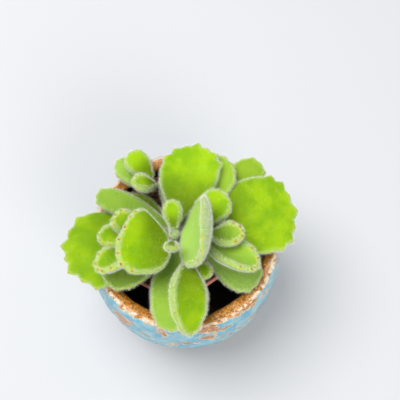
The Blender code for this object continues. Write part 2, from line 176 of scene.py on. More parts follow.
def skin(name, rings, values=None):
    """A closed, smooth solid from rings shaped (rings, points around, 3). Its first and last rings each
    shrink to a point or a line, and points that meet there are merged."""
    mesh = bpy.data.meshes.new(name)
    fill_mesh(mesh, rings.reshape(-1, 3), ring_faces(*rings.shape[:2]))
    tag(mesh, values or {})
    welded = bmesh.new()
    welded.from_mesh(mesh)
    bmesh.ops.remove_doubles(welded, verts=welded.verts, dist=MERGE)
    bmesh.ops.recalc_face_normals(welded, faces=welded.faces)
    welded.to_mesh(mesh)
    welded.free()
    mesh.shade_smooth()
    return put(mesh, name)


print("a tube of 3 rings of 4 points has", len(ring_faces(3, 4)), "quads")

# %% What every piece gets
def dress(obj, nodes, material):
    """The piece takes its material, rides on the model's one body and stands for these plain solids."""
    obj.data.materials.append(material)
    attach(obj, "root")
    if nodes:
        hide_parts(*nodes)
    return obj

# %% [markdown]
# ## Rough numbers that repeat
# Glaze, peat and leaves all vary from place to place. Blender's noise nodes could give that to a material,
# but geometry needs numbers in Python. A table of random numbers read smoothly between its entries gives
# them, and the same seed gives the same field each run.

# %% A smooth random field
FIELD_SIDE = 32
FIELD = np.random.default_rng(7).random((FIELD_SIDE,) * 3)


def field(points, size, octaves=3, seed=0):
    """Between -1 and 1 at each point: a lattice of random numbers a size apart, blended by a smooth step
    along each axis, plus finer layers at half the size and half the strength."""
    total = np.zeros(points.shape[:-1])
    weight_sum = 0
    for octave in range(octaves):
        place = points / size * 2**octave + 17.3 * octave + 5.1 * seed
        cell = np.floor(place).astype(int)
        part = place - cell
        part = part * part * (3 - 2 * part)
        value = 0
        for corner in np.ndindex(2, 2, 2):
            index = (cell + corner) % FIELD_SIDE
            share = np.prod(np.where(np.array(corner) == 1, part, 1 - part), axis=-1)
            value = value + share * FIELD[index[..., 0], index[..., 1], index[..., 2]]
        total += (2 * value - 1) * 0.5**octave
        weight_sum += 0.5**octave
    return total / weight_sum


print("one value of the field:", field(np.array([[0.3, 0.7, 0.2]]), 1.0))

# %% [markdown]
# ## Small tools for materials
# A material here is a graph of nodes. Written out node by node, a graph hides what it does, so these helpers
# keep it readable: one adds a node and sets or links its inputs, and the others name the few kinds that every
# finish below uses. Each takes the tree that the node goes into.

# %% Node helpers
def fill(tree, node, inputs):
    """Each input is a socket to link from, a number to set, or a colour, which gets its alpha here."""
    for key, value in inputs.items():
        if isinstance(value, bpy.types.NodeSocket):
            tree.links.new(value, node.inputs[key])
        else:
            node.inputs[key].default_value = (*value, 1) if isinstance(value, tuple) else value


def add(tree, kind, inputs=None, **settings):
    """A node with these inputs and settings."""
    node = tree.nodes.new("ShaderNode" + kind)
    for key, value in settings.items():
        setattr(node, key, value)
    fill(tree, node, inputs or {})
    return node


def calc(tree, operation, *values):
    """One step of arithmetic on sockets or numbers."""
    return add(tree, "Math", dict(enumerate(values)), operation=operation).outputs[0]


def times(tree, first, second):
    """One product, as masks and their strengths need most often."""
    return calc(tree, "MULTIPLY", first, second)


def frayed(tree, value, noise, amount, middle=0.5):
    """value + (noise - middle) amount: a border drawn at some value is no longer a clean line."""
    return calc(tree, "ADD", value, times(tree, calc(tree, "SUBTRACT", noise, middle), amount))


def rise(tree, value, low, high, to_low=0.0, to_high=1.0):
    """A smooth step: to_low below low, to_high above high."""
    inputs = {0: value, 1: low, 2: high, 3: to_low, 4: to_high}
    return add(tree, "MapRange", inputs, interpolation_type="SMOOTHSTEP").outputs[0]


def fall(tree, value, low, high):
    """A smooth step the other way: 1 below low, 0 above high."""
    return rise(tree, value, low, high, 1.0, 0.0)


def mix(tree, share, first, second):
    """The first colour where share is 0, the second where it is 1."""
    return add(tree, "Mix", {0: share, 6: first, 7: second}, data_type="RGBA").outputs[2]


def read(tree, name):
    """A number that the mesh holds at each point."""
    return add(tree, "Attribute", attribute_name=name).outputs["Fac"]


def object_place(tree):
    """Where a point lies in its object, which here is also where it lies in the world."""
    return add(tree, "TexCoord").outputs["Object"]


def height_above(tree):
    """Height above the floor."""
    return add(tree, "SeparateXYZ", {0: object_place(tree)}).outputs["Z"]

# %% Groups, and what a finish changes over the surface
def group_tree(name, inputs, outputs):
    """An empty node group with these named inputs (with their values) and outputs."""
    tree = bpy.data.node_groups.new(name, "ShaderNodeTree")
    for label, value in inputs.items():
        kind = "NodeSocketColor" if isinstance(value, tuple) else "NodeSocketFloat"
        socket = tree.interface.new_socket(label, in_out="INPUT", socket_type=kind)
        socket.default_value = (*value, 1) if isinstance(value, tuple) else value
    for label, kind in outputs.items():
        tree.interface.new_socket(label, in_out="OUTPUT", socket_type="NodeSocket" + kind)
    return tree, tree.nodes.new("NodeGroupInput"), tree.nodes.new("NodeGroupOutput")


def use(tree, group, **inputs):
    """A group placed in a material, with its own values."""
    node = add(tree, "Group", node_tree=group)
    fill(tree, node, inputs)
    return node.outputs


def drive(tree, colour, roughness, height, depth):
    """Links what changes over the surface: its colour, its roughness unless that is None, and a height
    between 0 and 1 that bumps it by this depth."""
    bump = add(tree, "Bump", {"Height": height, "Distance": depth, "Strength": 1.0})
    changing = {"Base Color": colour, "Normal": bump.outputs["Normal"]}
    if roughness is not None:
        changing["Roughness"] = roughness
    fill(tree, tree.nodes["Principled BSDF"], changing)

# %% [markdown]
# ## Two effects that several finishes share
# *Mottle* is the slow change of colour from place to place that glaze, peat, plastic and leaves all show.
# *Felt* is what the finest hairs do to a surface too small to model one by one: pale specks, and a
# roughness that the light picks out. Each is a node group, built once and placed with its own values.

# %% The mottle group
def noise_of_size(tree, enter, **inputs):
    """Noise on Object coordinates whose waves are as long as the group's Size input says."""
    scale = calc(tree, "DIVIDE", 1.0, enter.outputs["Size"])
    return add(tree, "TexNoise", {"Vector": object_place(tree), "Scale": scale, **inputs}).outputs["Fac"]


mottle, enter, leave = group_tree(
    "mottle", {"Size": 0.01, "Detail": 3.0, "Low": 0.4, "High": 0.6}, {"Mask": "Float", "Height": "Float"})
waves = noise_of_size(mottle, enter, Detail=enter.outputs["Detail"])
mask = rise(mottle, waves, enter.outputs["Low"], enter.outputs["High"])
fill(mottle, leave, {"Mask": mask, "Height": waves})


def mottled(tree, size, detail, low=0.4, high=0.6):
    """Mottle with patches about this many millimetres across; its mask rises from low to high."""
    return use(tree, mottle, Size=size * MM, Detail=detail, Low=low, High=high)

# %% The felt group
felt_group, enter, leave = group_tree(
    "felt", {"Skin": (0.3, 0.5, 0.02), "Hair": (0.8, 0.9, 0.6), "Amount": 0.3, "Size": 0.0006},
    {"Colour": "Color", "Height": "Float"})
specks = noise_of_size(felt_group, enter, Detail=2.0, Roughness=0.7)
shown = times(felt_group, rise(felt_group, specks, 0.45, 0.7), enter.outputs["Amount"])
colour = mix(felt_group, shown, enter.outputs["Skin"], enter.outputs["Hair"])
fill(felt_group, leave, {"Colour": colour, "Height": specks})
print("groups:", [group.name for group in bpy.data.node_groups])

# %% [markdown]
# ## The planter
# The real planter is thickly glazed: turquoise and cream have crawled into islands over a rusty
# brown body, thick enough to feel. It could be a plain turned vase with a painted pattern, but the islands
# stand proud and would look flat. So one random field decides both: where it is high the wall is pushed
# out, and the same numbers, kept at each point, tell the material where the blue lies.

# %% The planter's sizes, from the plain model
low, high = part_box("planter")
PLANTER_HEIGHT = high.z
BELLY_RADIUS = (high.x - low.x) / 2
BELLY_HEIGHT, FOOT_RADIUS, RIM_RADIUS = 50 * MM, 46 * MM, 61 * MM
WALL, PLANTER_FLOOR, FOOT_CHAMFER = 5.5 * MM, 8 * MM, 1.5 * MM
LIP_WIDTH, LIP_THICKNESS, LIP_SLOPE = 9 * MM, 6.6 * MM, 0.4
LIP_STARTS, LIP_ENDS = 10, 240  # degrees round the lip, from its outermost point over its top
print("planter, mm:", round(PLANTER_HEIGHT / MM, 1), "high,", round(2 * BELLY_RADIUS / MM, 1), "across")

# %% The planter's side and lip
def planter_radius(height):
    """The outside: a parabola from the foot out to the belly, and another from there in to the rim."""
    lower = np.clip((BELLY_HEIGHT - height) / BELLY_HEIGHT, 0, None)
    upper = np.clip((height - BELLY_HEIGHT) / (PLANTER_HEIGHT - BELLY_HEIGHT), 0, None)
    return BELLY_RADIUS - (BELLY_RADIUS - FOOT_RADIUS) * lower**2 - (BELLY_RADIUS - RIM_RADIUS) * upper**2


def lip(degrees):
    """The rolled lip: an ellipse sheared so that its top falls inwards, read from one angle to another."""
    angle = np.radians(degrees)
    shear = LIP_SLOPE * LIP_WIDTH / 2
    middle_height = PLANTER_HEIGHT - hypot(LIP_THICKNESS / 2, shear)
    radius = RIM_RADIUS - LIP_WIDTH / 2 + LIP_WIDTH / 2 * np.cos(angle)
    return radius, middle_height + LIP_THICKNESS / 2 * np.sin(angle) + shear * np.cos(angle)


def evenly(radii, heights, gap):
    """The same profile with its points about a gap apart, measured along it."""
    along = np.concatenate([[0], np.cumsum(np.hypot(np.diff(radii), np.diff(heights)))])
    even = np.linspace(0, along[-1], int(along[-1] / gap) + 1)
    return np.interp(even, along, radii), np.interp(even, along, heights)


print("the lip's top, mm:", round(lip(np.arange(180))[1].max() / MM, 1), "high")

# %% The planter's profile, turned
def turned(radii, heights, around, centre=(0, 0)):
    """Circles about Z: the profile's point i, turned by angle j, is (r cos, r sin, z)."""
    angle = np.linspace(0, 2 * pi, around, endpoint=False)
    rings = np.empty((len(radii), around, 3))
    rings[..., 0] = centre[0] + radii[:, None] * np.cos(angle)
    rings[..., 1] = centre[1] + radii[:, None] * np.sin(angle)
    rings[..., 2] = heights[:, None]
    return rings


PROFILE_GAP, PLANTER_AROUND = 1.3 * MM, 288
lip_radii, lip_heights = lip(np.linspace(LIP_STARTS, LIP_ENDS, 60))
side_heights = np.linspace(FOOT_CHAMFER, lip_heights[0], 60)[:-1]
inner_heights = np.linspace(PLANTER_HEIGHT - 2 * LIP_THICKNESS, PLANTER_FLOOR, 30)
radii = np.concatenate([[0, FOOT_RADIUS - FOOT_CHAMFER], planter_radius(side_heights), lip_radii,
                        planter_radius(inner_heights) - WALL, [0]])
heights = np.concatenate([[0, 0], side_heights, lip_heights, inner_heights, [PLANTER_FLOOR]])
radii, heights = evenly(radii, heights, PROFILE_GAP)
rings = turned(radii, heights, PLANTER_AROUND)
print("planter rings:", rings.shape)

# %% The islands, pushed out
ISLAND_SIZE, LUMP_SIZE = 14 * MM, 5 * MM
ISLAND_MM, LUMP_MM, STEEPNESS, PROUDEST = 0.9, 0.35, 4, 0.5 * MM
crest = int(np.argmax(heights))
slope = np.gradient(np.column_stack([radii, heights]), axis=0)
slope /= np.linalg.norm(slope, axis=1)[:, None]
arc = np.concatenate([[0], np.cumsum(np.hypot(np.diff(radii), np.diff(heights)))])
past_crest = (arc - arc[crest]) / LIP_WIDTH  # 0 on the crest, 1 at the lip's inner edge, below 0 outside
islands = field(rings * (1, 1, 2), ISLAND_SIZE, 4, seed=3)  # wider than they are high
lumps = field(rings, LUMP_SIZE, 3, seed=5)
on_wall = np.clip((heights - 3 * MM) / (8 * MM), 0, 1) * (past_crest < 1.1)  # 0 at the foot and inside
bulge = on_wall[:, None] * (ISLAND_MM * np.clip(STEEPNESS * islands, -0.7, 1) + LUMP_MM * lumps) * MM
angle = np.arctan2(rings[..., 1], rings[..., 0])
out = np.stack([slope[:, 1, None] * np.cos(angle), slope[:, 1, None] * np.sin(angle),
                np.broadcast_to(-slope[:, 0, None], angle.shape)], axis=-1)
rings = rings + out * np.minimum(bulge, PROUDEST)[..., None]
planter = skin("glazed_planter", rings, {
    "island": islands, "past_crest": np.broadcast_to(past_crest[:, None], angle.shape)})
print("planter faces:", len(planter.data.polygons))

# %% [markdown]
# ## The glaze
# Four layers, from the body out: rust, mottled from dark brown through orange to ochre; cream where the
# glaze thins at an island's shore, and a cream line along the crest of the rim; blue on the islands; and the
# inside, its dark brown glaze painted almost black as shade. Each layer's mask is broken up by finer noise,
# so that no border is a clean line.

# %% The glaze's colours
RUST_DARK, RUST_LIGHT, OCHRE = (0.2, 0.06, 0.008), (0.68, 0.25, 0.018), (0.88, 0.62, 0.25)
CREAM_DARK, CREAM_LIGHT, VEIN_RUST = (0.62, 0.42, 0.24), (0.86, 0.76, 0.6), (0.62, 0.3, 0.1)
BLUE_DEEP, BLUE_PALE, BLUE_SPECK = (0.1, 0.4, 0.56), (0.25, 0.52, 0.6), (0.55, 0.68, 0.66)
# The inside's colour is far darker than its dark brown glaze: painted shade.
INSIDE_BROWN_AND_SHADE = (0.018, 0.006, 0.003)
CREAM_SHORE, BLUE_SHORE = (-0.27, -0.19), (-0.15, -0.1)  # the islands' field where each starts and is full
print("the shore is cream over", round(BLUE_SHORE[0] - CREAM_SHORE[0], 2), "of the field")

# %% Its masks, and the rust and cream
glaze, tree = new_finish("turquoise_glaze", Coat_Weight=0.35, Coat_Roughness=0.12)
fine = mottled(tree, 1.6, 4, 0.3, 0.7)
broad = mottled(tree, 9, 3, 0.42, 0.6)
middle = mottled(tree, 4, 5, 0.44, 0.58)
crumbs = mottled(tree, 0.9, 2, 0.52, 0.66)
ragged = frayed(tree, read(tree, "past_crest"), fine["Height"], 0.5)
shore = frayed(tree, read(tree, "island"), middle["Height"], 0.9)
outside = fall(tree, ragged, -0.3, -0.12)
rust = mix(tree, fine["Mask"], RUST_DARK, RUST_LIGHT)
rust = mix(tree, times(tree, crumbs["Mask"], 0.55), rust, OCHRE)
cream = mix(tree, fine["Mask"], CREAM_DARK, CREAM_LIGHT)
fringe = times(tree, rise(tree, shore, *CREAM_SHORE), outside)
colour = mix(tree, times(tree, fringe, 0.8), rust, cream)
print("glaze nodes so far:", len(tree.nodes))

# %% The blue with its veins, the rim's ridge, and the inside, painted near black as shade
blue = mix(tree, broad["Mask"], BLUE_DEEP, BLUE_PALE)
blue = mix(tree, times(tree, crumbs["Mask"], 0.3), blue, BLUE_SPECK)
veins = mottled(tree, 8, 5)["Height"]
off_vein = calc(tree, "ABSOLUTE", calc(tree, "SUBTRACT", veins, 0.5))
vein = times(tree, fall(tree, off_vein, 0.008, 0.022), broad["Mask"])
blue = mix(tree, times(tree, vein, 0.85), blue, mix(tree, middle["Mask"], VEIN_RUST, cream))
colour = mix(tree, times(tree, rise(tree, shore, *BLUE_SHORE), outside), colour, blue)
ridge = times(tree, rise(tree, ragged, -0.26, -0.16), fall(tree, ragged, 0.03, 0.12))
colour = mix(tree, times(tree, ridge, rise(tree, middle["Height"], 0.4, 0.47)), colour, cream)
# Painted shade: past the lip's inner edge the glaze turns almost black.
colour = mix(tree, rise(tree, ragged, 0.78, 1.0), colour, INSIDE_BROWN_AND_SHADE)
drive(tree, colour, rise(tree, fine["Height"], 0.3, 0.7, 0.28, 0.6), middle["Height"], 0.8 * MM)
dress(planter, ["planter"], glaze)
print("glaze nodes:", len(tree.nodes))

# %% [markdown]
# ## The nursery pot
# A thin moulded pot with a thicker band below its rim. Its profile is the plain model's, with the edges
# rounded as moulding leaves them, and a Boolean cuts its drain holes.

# %% The nursery pot's shape
low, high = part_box("nursery_pot")
NURSERY = ((low.x + high.x) / 2, (low.y + high.y) / 2)
NURSERY_FLOOR, NURSERY_RIM = low.z, high.z
NURSERY_RIM_RADIUS, NURSERY_BASE, NURSERY_WALL = (high.x - low.x) / 2, 30 * MM, 1.2 * MM
BAND_HEIGHT, BAND_STEP = 7 * MM, 1.2 * MM
NURSERY_AROUND, NURSERY_GAP = 160, 0.6 * MM


def nursery_radius(height):
    """The outside of the wall, a straight taper from the base to the rim, without the band."""
    share = (height - NURSERY_FLOOR) / (NURSERY_RIM - NURSERY_FLOOR)
    return NURSERY_BASE + (NURSERY_RIM_RADIUS - BAND_STEP - NURSERY_BASE) * share


turn = np.linspace(0, pi, 9)
rim_half = (NURSERY_WALL + BAND_STEP) / 2
band = NURSERY_RIM - BAND_HEIGHT
floor_top = NURSERY_FLOOR + NURSERY_WALL
profile = [(0, NURSERY_FLOOR), (NURSERY_BASE - MM, NURSERY_FLOOR), (NURSERY_BASE, NURSERY_FLOOR + MM)]
profile += [(nursery_radius(band), band), (nursery_radius(band) + 0.8 * BAND_STEP, band + 0.3 * MM),
            (nursery_radius(band) + BAND_STEP, band + NURSERY_WALL)]
profile += [(NURSERY_RIM_RADIUS - rim_half + rim_half * cos(a), NURSERY_RIM - rim_half + rim_half * sin(a))
            for a in turn]
profile += [(nursery_radius(floor_top) - NURSERY_WALL, floor_top), (0, floor_top)]
radii, heights = evenly(*np.array(profile).T, NURSERY_GAP)
nursery_pot = skin("plastic_nursery_pot", turned(radii, heights, NURSERY_AROUND, NURSERY))
print("nursery pot profile:", len(radii), "points")

# %% The drain holes
HOLES, HOLE_RADIUS, HOLE_CIRCLE, HOLE_SIDES = 6, 2.2 * MM, 18 * MM, 24
bottom, top = NURSERY_FLOOR - 2 * MM, floor_top + 2 * MM
drill_profile = np.array([[0, bottom], [HOLE_RADIUS, bottom], [HOLE_RADIUS, top], [0, top]])
cutters = []
for number in range(HOLES):
    angle = 2 * pi * number / HOLES
    centre = (NURSERY[0] + HOLE_CIRCLE * cos(angle), NURSERY[1] + HOLE_CIRCLE * sin(angle))
    drill = skin(f"drill_{number}", turned(*drill_profile.T, HOLE_SIDES, centre))
    modifier = nursery_pot.modifiers.new(drill.name, "BOOLEAN")
    modifier.object, modifier.operation, modifier.solver = drill, "DIFFERENCE", "EXACT"
    cutters.append(drill)
whole = nursery_pot.evaluated_get(bpy.context.evaluated_depsgraph_get())
cut_mesh = bpy.data.meshes.new_from_object(whole)
nursery_pot.modifiers.clear()
nursery_pot.data = cut_mesh  # the cuts are kept in the mesh, so the drills can go
for drill in cutters:
    bpy.data.objects.remove(drill)
nursery_pot.data.set_sharp_from_angle(angle=radians(50))
print("nursery pot faces:", len(nursery_pot.data.polygons))

# %% [markdown]
# ## The plastic
# Salmon-pink plastic, scuffed pale in patches, with peat splashed on its walls but not on its rim. Splashes
# painted as a picture would need an unwrapped pot; a mask that falls with height needs only the place.

# %% The moulded plastic
SALMON, SALMON_WORN, PEAT_STAIN = (0.95, 0.32, 0.23), (1.0, 0.48, 0.38), (0.12, 0.05, 0.03)
plastic, tree = new_finish("salmon_plastic", Roughness=0.42)
worn = mottled(tree, 6, 4, 0.35, 0.7)
grain = mottled(tree, 0.5, 2, 0.3, 0.7)
colour = mix(tree, worn["Mask"], SALMON, SALMON_WORN)
splashed = times(tree, fall(tree, height_above(tree), NURSERY_RIM - 7 * MM, NURSERY_RIM - 3 * MM), 0.5)
colour = mix(tree, times(tree, splashed, worn["Height"]), colour, PEAT_STAIN)
drive(tree, colour, rise(tree, worn["Height"], 0.3, 0.7, 0.35, 0.55), grain["Height"], 0.1 * MM)
dress(nursery_pot, ["nursery_pot"], plastic)
print("plastic nodes:", len(tree.nodes))

# %% [markdown]
# ## The soil
# Coarse peat: a lumpy surface, crumbs lying on it, and brown fibres. The surface is rings spreading from
# the stem, so its middle can dip into the socket that the stem stands in. Crumbs and fibres are a few
# shapes repeated, each with few faces and its own size, turn and place.

# %% The peat's surface
low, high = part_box("soil")
SOIL_BOTTOM, SOIL_CROWN, HEADSPACE = low.z, 1.5 * MM, 6 * MM
SOIL_Z = NURSERY_RIM - HEADSPACE
STEM_FOOT, STEM_TIP, STEM_HEIGHT, ROOT_DEPTH = 4.2 * MM, 2.6 * MM, 43 * MM, 12 * MM
GAP = 0.3 * MM  # between pieces that touch
soil_edge = nursery_radius(SOIL_Z) - NURSERY_WALL - GAP
socket = STEM_FOOT + 2 * GAP
across = np.linspace(socket, soil_edge, 70)
crown = SOIL_Z + SOIL_CROWN * (1 - (across / soil_edge) ** 2)
radii = np.concatenate([[0, socket], across, [nursery_radius(SOIL_BOTTOM) - NURSERY_WALL - GAP, 0]])
heights = np.concatenate([[SOIL_Z - ROOT_DEPTH - GAP] * 2, crown, [SOIL_BOTTOM] * 2])
rings = turned(radii, heights, 240, NURSERY)
top = rings[2:-2]
lumpy = 1.1 * field(top, 7 * MM, 2, seed=8) + 0.7 * field(top, 2.2 * MM, 3, seed=9)
edge_share = np.minimum(1, (soil_edge - across) / (2 * MM))[:, None]
top[..., 2] += lumpy * MM * edge_share
soil = skin("peat_block", rings)
print("peat, mm:", round(2 * soil_edge / MM, 1), "across,", round(SOIL_Z / MM, 1), "high at its edge")

# %% Many copies of one shape
def repeated(name, points, faces):
    """A smooth mesh of points shaped (copies, points in one, 3), each copy with these faces."""
    mesh = bpy.data.meshes.new(name)
    first = points.shape[1] * np.arange(len(points))[:, None, None]
    fill_mesh(mesh, points.reshape(-1, 3), (faces[None] + first).reshape(-1, faces.shape[1]))
    mesh.shade_smooth()
    return mesh


def copies(name, points, faces, turns, sizes, places):
    """One mesh of many copies: point p of copy k is place k + turn k applied to size k times p."""
    spread = np.einsum("kij,kpj->kpi", turns, points[None] * sizes[:, None]) + places[:, None]
    return put(repeated(name, spread, faces), name)


def random_turns(random, count):
    """Rotations from random unit quaternions, as matrices."""
    w, x, y, z = (q := random.normal(size=(4, count))) / np.linalg.norm(q, axis=0)
    rows = [[1 - 2 * (y * y + z * z), 2 * (x * y - w * z), 2 * (x * z + w * y)],
            [2 * (x * y + w * z), 1 - 2 * (x * x + z * z), 2 * (y * z - w * x)],
            [2 * (x * z - w * y), 2 * (y * z + w * x), 1 - 2 * (x * x + y * y)]]
    return np.moveaxis(np.array(rows), 2, 0)


random = np.random.default_rng(21)
print("turns keep lengths:", np.allclose(np.linalg.det(random_turns(np.random.default_rng(0), 5)), 1))

# %% Crumbs
def on_soil(random, count, margin):
    """Even random places on the peat's smooth crown, clear of the stem and of the pot's wall: the square of
    the distance from the middle is drawn evenly, so that every patch gets as many."""
    distance = np.sqrt(random.uniform((socket + margin) ** 2, (soil_edge - margin) ** 2, count))
    angle = random.uniform(0, 2 * pi, count)
    x, y = NURSERY[0] + distance * np.cos(angle), NURSERY[1] + distance * np.sin(angle)
    share = np.hypot(x - NURSERY[0], y - NURSERY[1]) / soil_edge
    return np.column_stack([x, y, SOIL_Z + SOIL_CROWN * (1 - share**2)])


ball = bmesh.new()
bmesh.ops.create_icosphere(ball, subdivisions=1, radius=1)
ball_points = np.array([v.co for v in ball.verts])
ball_faces = np.array([[v.index for v in f.verts] for f in ball.faces])
ball.free()
ball_points *= 1 + 0.25 * field(ball_points, 0.9, 1, seed=3)[:, None]


def crumbs_of(name, count, smallest, largest, material):
    """Squashed lumpy balls, more of them small than large, half sunk in the peat or lying on it."""
    places = on_soil(random, count, 1.5 * MM)
    places[:, 2] += random.uniform(-0.2, 0.9, count) * MM
    size = smallest + (largest - smallest) * random.random(count) ** 2
    sizes = size[:, None] * random.uniform(0.6, 1.2, (count, 3))
    obj = copies(name, ball_points, ball_faces, random_turns(random, count), sizes, places)
    dress(obj, [], material)


print("faces of a crumb:", len(ball_faces))

# %% Fibres
def fibres_of(name, count, material):
    """Bent, tapering threads with three sides, lying on the peat."""
    share = np.linspace(0, 1, 6)
    bend = 0.18 * np.sin(pi * share)
    thick = 0.02 * np.sin(pi * np.clip(share, 0.06, 0.94))
    turn = np.arange(3) * 2 * pi / 3
    points = np.empty((6, 3, 3))
    points[..., 0] = share[:, None] - 0.5
    points[..., 1] = bend[:, None] + thick[:, None] * np.cos(turn)
    points[..., 2] = 0.6 * bend[:, None] + thick[:, None] * np.sin(turn)
    quads = ring_faces(6, 3)
    faces = np.concatenate([quads[:, [0, 1, 2]], quads[:, [0, 2, 3]], [[0, 2, 1], [15, 16, 17]]])
    places = on_soil(random, count, 3 * MM)
    places[:, 2] += random.uniform(0.3, 1.4, count) * MM
    angle = random.uniform(0, 2 * pi, count)
    zero = np.zeros(count)
    rows = [[np.cos(angle), -np.sin(angle), zero], [np.sin(angle), np.cos(angle), zero],
            [zero, zero, zero + 1]]
    turns = np.moveaxis(np.array(rows), 2, 0)
    sizes = np.repeat(random.uniform(3, 8, count)[:, None] * MM, 3, axis=1)
    obj = copies(name, points.reshape(-1, 3), faces, turns, sizes, places)
    dress(obj, [], material)

# %% [markdown]
# ## The peat's colours
# Peat is dark brown in its hollows and lighter on its crumbs; grit is pale and fibres are tan. All four are
# one finish with other colours: coarse mottle for the colour, fine mottle for the bump.

# %% Peat, crumbs, grit and fibres
def peat_finish(name, dark, light):
    material, tree = new_finish(name, Roughness=0.95, Specular_IOR_Level=0.2)
    coarse = mottled(tree, 2.5, 5, 0.4, 0.65)
    fine = mottled(tree, 0.6, 3, 0.3, 0.7)
    colour = mix(tree, coarse["Mask"], dark, light)
    drive(tree, colour, None, fine["Height"], 0.6 * MM)
    return material


dress(soil, ["soil"], peat_finish("wet_peat", (0.1, 0.05, 0.025), (0.4, 0.21, 0.11)))
crumbs_of("peat_crumbs", 1500, 0.35 * MM, 1.3 * MM,
          peat_finish("peat_crumb", (0.1, 0.055, 0.03), (0.45, 0.28, 0.17)))
crumbs_of("peat_grit", 260, 0.2 * MM, 0.7 * MM,
          peat_finish("pale_grit", (0.32, 0.2, 0.13), (0.62, 0.5, 0.4)))
fibres_of("peat_fibres", 320, peat_finish("peat_fibre", (0.12, 0.06, 0.03), (0.36, 0.22, 0.12)))
print("peat's finishes:", [m.name for m in bpy.data.materials if m.name.startswith(("peat", "wet", "pale"))])

# %% [markdown]
# ## The stems
# The main stem leans forward as it rises, and four shoots leave it level and curve up. A bevelled curve
# object would give smooth pipes; a tube of circles carried along a curve can also swell and be uneven, as
# stems are where leaves have grown.

# %% Directions
def direction(azimuth, lift=0):
    """Unit vector: azimuth turns from +X to +Y, lift is above level, both in degrees."""
    azimuth, lift = radians(azimuth), radians(lift)
    return np.array((cos(lift) * cos(azimuth), cos(lift) * sin(azimuth), sin(lift)))


def unit(vectors):
    """The same vectors, each one long."""
    return vectors / np.linalg.norm(vectors, axis=-1, keepdims=True)


print("a shoot to the back left starts along", direction(135).round(2))

# %% The main stem's and the shoots' curves
class MainStem:
    """Upright in the soil, then leaning with the square of its height."""

    name, first, last = "main_stem", -ROOT_DEPTH, STEM_HEIGHT
    lean = np.array((-0.7, -15, 0)) * MM

    def point(self, along):
        along = np.asarray(along, float)[..., None]
        foot = np.array((*NURSERY, SOIL_Z))
        return foot + self.lean * (np.clip(along, 0, None) / STEM_HEIGHT) ** 2 + along * np.array((0, 0, 1))

    def radius(self, along):
        return STEM_FOOT + (STEM_TIP - STEM_FOOT) * np.clip(along, 0, None) / STEM_HEIGHT

    def heading(self, along):
        return unit(self.point(along + 0.1 * MM) - self.point(along - 0.1 * MM))


def clear_reach(stem, along, out, half_width):
    """How far along out something this wide starts from the stem's axis, to stand clear of its side."""
    lean = abs(float(out @ stem.heading(along)))
    return (stem.radius(along) + 2 * GAP + half_width * lean) / max((1 - lean**2) ** 0.5, 0.4)


class Shoot(MainStem):
    """A curve with one control point: it leaves the main stem level and rises to its tip."""

    foot_radius, tip_radius = 2.6 * MM, 2.0 * MM

    def __init__(self, name, along_stem, azimuth, reach, rise):
        main, out = MainStem(), direction(azimuth)
        start = clear_reach(main, along_stem * MM, out, self.foot_radius)
        middle = main.point(along_stem * MM)
        self.name, self.first = name, 0.0
        self.foot = middle + out * start
        self.bow = middle + out * (start + 0.65 * (reach * MM - start))
        self.tip = middle + out * reach * MM + np.array((0, 0, rise * MM))
        self.last = hypot(reach * MM - start, rise * MM)

    def point(self, along):
        share = np.asarray(along, float)[..., None] / self.last
        return (1 - share) ** 2 * self.foot + 2 * share * (1 - share) * self.bow + share**2 * self.tip

    def radius(self, along):
        return self.foot_radius + (self.tip_radius - self.foot_radius) * along / self.last


STEMS = {stem.name: stem for stem in (
    MainStem(), Shoot("right_shoot", 29, -18, 16, 6), Shoot("left_shoot", 28, 199, 20, 5),
    Shoot("back_shoot", 13, 105, 31, 11), Shoot("front_shoot", 30, 292, 17, 5))}
print("stems' lengths, mm:", {name: round((stem.last - stem.first) / MM, 1) for name, stem in STEMS.items()})

# %% The stems' skins
TUBE_STEP, TUBE_AROUND, END_ROUNDING, SWELLING_LENGTH = 0.5 * MM, 40, 1.2 * MM, 2.1 * MM


def tube(name, stem):
    """Circles across the stem's heading, a step apart, closed by a rounded end at each side. The radius
    swells and shrinks along the stem with a sine, and unevenly all over with the random field."""
    count = int((stem.last - stem.first) / TUBE_STEP) + 2
    along = np.linspace(stem.first, stem.last, count)
    ahead = stem.heading(along)
    side = unit(np.cross(ahead, np.array((0.02, 1, 0.03))))
    other = np.cross(ahead, side)
    angle = np.linspace(0, 2 * pi, TUBE_AROUND, endpoint=False)[None, :, None]
    around_axis = np.cos(angle) * side[:, None] + np.sin(angle) * other[:, None]
    middle = stem.point(along)[:, None]
    to_end = np.minimum(along - stem.first, stem.last - along)
    rounding = np.sqrt(1 - (1 - np.clip(to_end / END_ROUNDING, 0, 1)) ** 2)
    radius = (stem.radius(along) * (0.55 + 0.45 * rounding))[:, None, None]
    rings = middle + around_axis * radius
    uneven = 0.18 * field(rings, 3 * MM, 2, seed=12) + 0.12 * np.sin(along / SWELLING_LENGTH)[:, None]
    rings = rings + around_axis * (uneven - 0.15)[..., None] * MM
    first, last = (np.repeat(stem.point(np.array([end]))[:, None], TUBE_AROUND, axis=1)
                   for end in (stem.first, stem.last))
    return skin(name, np.concatenate([first, rings, last]))


STEM_GREEN, STEM_PALE, WOODY = (0.16, 0.27, 0.03), (0.28, 0.42, 0.05), (0.13, 0.09, 0.04)
stem_skin, tree = new_finish("stem_skin", Roughness=0.7, Sheen_Weight=0.25, Sheen_Roughness=0.5)
broad = mottled(tree, 4, 3, 0.38, 0.62)
bark = mix(tree, broad["Mask"], STEM_GREEN, STEM_PALE)
bark = mix(tree, fall(tree, height_above(tree), SOIL_Z, SOIL_Z + 14 * MM), bark, WOODY)
felted = use(tree, felt_group, Skin=bark, Hair=(0.7, 0.75, 0.55), Amount=0.5, Size=0.5 * MM)
drive(tree, felted["Colour"], None, felted["Height"], 0.25 * MM)
stem_objects = [dress(tube(f"{name}_skin", stem), [name], stem_skin) for name, stem in STEMS.items()]
print("stems:", [o.name for o in stem_objects])

